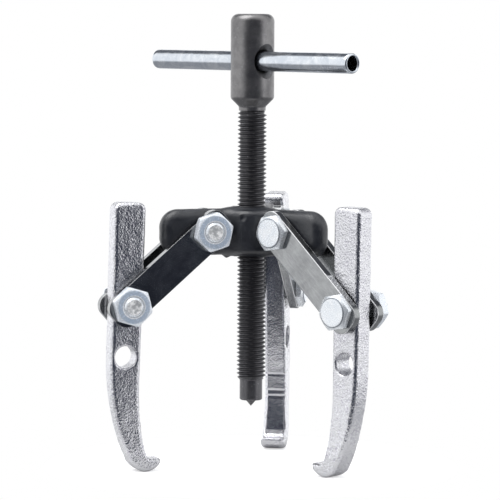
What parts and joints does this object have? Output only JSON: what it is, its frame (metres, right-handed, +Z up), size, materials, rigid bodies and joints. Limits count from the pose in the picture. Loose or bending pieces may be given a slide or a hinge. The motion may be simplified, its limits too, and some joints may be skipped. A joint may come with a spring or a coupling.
{
  "type": "gear puller",
  "caption": "Gear puller: hooked jaws hang on paired straps around a cast yoke, and a T-bar forcing screw with a centre point runs down its middle.",
  "frame": {"origin": "centre of the flat end of the forcing screw's nose, on the screw's axis", "axes": "+Z up the forcing screw towards its head; +Y towards the arm of jaw 1, with jaws 2 and 3 at 120 degrees either side"},
  "size_m": [0.1409, 0.1249, 0.219],
  "materials": {
    "blackened_steel": "satin black oxide",
    "plated_tube": "satin zinc plate",
    "black_casting": "semi-gloss black",
    "plated_flat_bar": "satin bright plate",
    "plated_forging": "bright zinc plate over a forged, shot-blasted skin",
    "plated_fastener": "bright blue-white zinc plate"
  },
  "bodies": {
    "yoke": {"yoke": "black_casting", "yoke_bolt_1": "plated_fastener", "yoke_bolt_2": "plated_fastener", "yoke_bolt_3": "plated_fastener", "yoke_nut_1": "plated_fastener", "yoke_nut_2": "plated_fastener", "yoke_nut_3": "plated_fastener"},
    "straps_1": {"strap_1_left": "plated_flat_bar", "strap_1_right": "plated_flat_bar", "jaw_bolt_1": "plated_fastener", "jaw_nut_1": "plated_fastener"},
    "straps_2": {"strap_2_left": "plated_flat_bar", "strap_2_right": "plated_flat_bar", "jaw_bolt_2": "plated_fastener", "jaw_nut_2": "plated_fastener"},
    "straps_3": {"strap_3_left": "plated_flat_bar", "strap_3_right": "plated_flat_bar", "jaw_bolt_3": "plated_fastener", "jaw_nut_3": "plated_fastener"},
    "jaw_1": {"jaw_1": "plated_forging"},
    "jaw_2": {"jaw_2": "plated_forging"},
    "jaw_3": {"jaw_3": "plated_forging"},
    "centre_point": {"centre_point": "blackened_steel"},
    "forcing_screw": {"forcing_screw": "blackened_steel"},
    "tommy_bar": {"tommy_bar": "plated_tube"}
  },
  "joints": [
    {"name": "strap_pivot_1", "type": "hinge", "parent": "yoke", "child": "straps_1", "pos_m": [0, 0.0237, 0.0829], "axis": [1, 0, 0], "range_deg": [-3.5, 28]},
    {"name": "strap_pivot_2", "type": "hinge", "parent": "yoke", "child": "straps_2", "pos_m": [-0.02052, -0.01185, 0.0829], "axis": [-0.5, 0.866, 0], "range_deg": [-3.5, 28]},
    {"name": "strap_pivot_3", "type": "hinge", "parent": "yoke", "child": "straps_3", "pos_m": [0.02052, -0.01185, 0.0829], "axis": [-0.5, -0.866, 0], "range_deg": [-3.5, 28]},
    {"name": "jaw_pivot_1", "type": "hinge", "parent": "straps_1", "child": "jaw_1", "pos_m": [0, 0.06414, 0.04864], "axis": [1, 0, 0], "range_deg": [-30, 3]},
    {"name": "jaw_pivot_2", "type": "hinge", "parent": "straps_2", "child": "jaw_2", "pos_m": [-0.05524, -0.03189, 0.04823], "axis": [-0.5, 0.866, 0], "range_deg": [-26.8, 6.2]},
    {"name": "jaw_pivot_3", "type": "hinge", "parent": "straps_3", "child": "jaw_3", "pos_m": [0.05488, -0.03168, 0.04775], "axis": [-0.5, -0.866, 0], "range_deg": [-24.3, 8.7]},
    {"name": "screw_feed", "type": "slide", "parent": "yoke", "child": "centre_point", "axis": [0, 0, 1], "range_m": [-0.034, 0.05]},
    {"name": "screw_turn", "type": "hinge", "parent": "centre_point", "child": "forcing_screw", "pos_m": [0, 0, 0], "axis": [0, 0, 1], "range_deg": [-6120, 9000]},
    {"name": "bar_slide", "type": "slide", "parent": "forcing_screw", "child": "tommy_bar", "axis": [0.8028, -0.5962, 0], "range_m": [-0.055, 0.055]}
  ],
  "couplings": [
    {"joint": "screw_feed", "follows": "screw_turn", "m_per_rad": 0.00031831}
  ]
}
